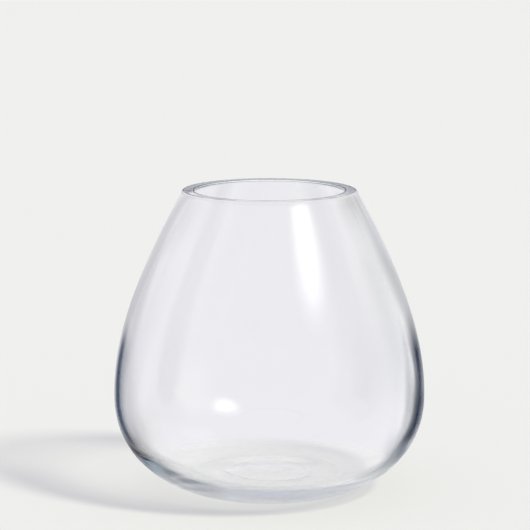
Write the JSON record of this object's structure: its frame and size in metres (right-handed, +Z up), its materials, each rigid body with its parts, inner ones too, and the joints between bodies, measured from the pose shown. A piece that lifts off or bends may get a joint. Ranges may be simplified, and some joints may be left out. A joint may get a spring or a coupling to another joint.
{
  "type": "teardrop vase",
  "caption": "Clear glass teardrop vase: wide low belly drawn in to a plain round mouth, heavy base with a ground foot ring, open inside for stems and water.",
  "frame": {"origin": "centre of the foot ring, on the surface that the vase stands on", "axes": "+Z up along the vase's axis; X and Y lie in the surface that it stands on, and are free because the vase is round"},
  "size_m": [0.17, 0.17, 0.1645],
  "materials": {
    "clear_glass": "clear blown glass, fire-bright inside and out, with a faint grey-blue tint where it is thick"
  },
  "bodies": {
    "root": {"vessel": "clear_glass"}
  },
  "joints": []
}
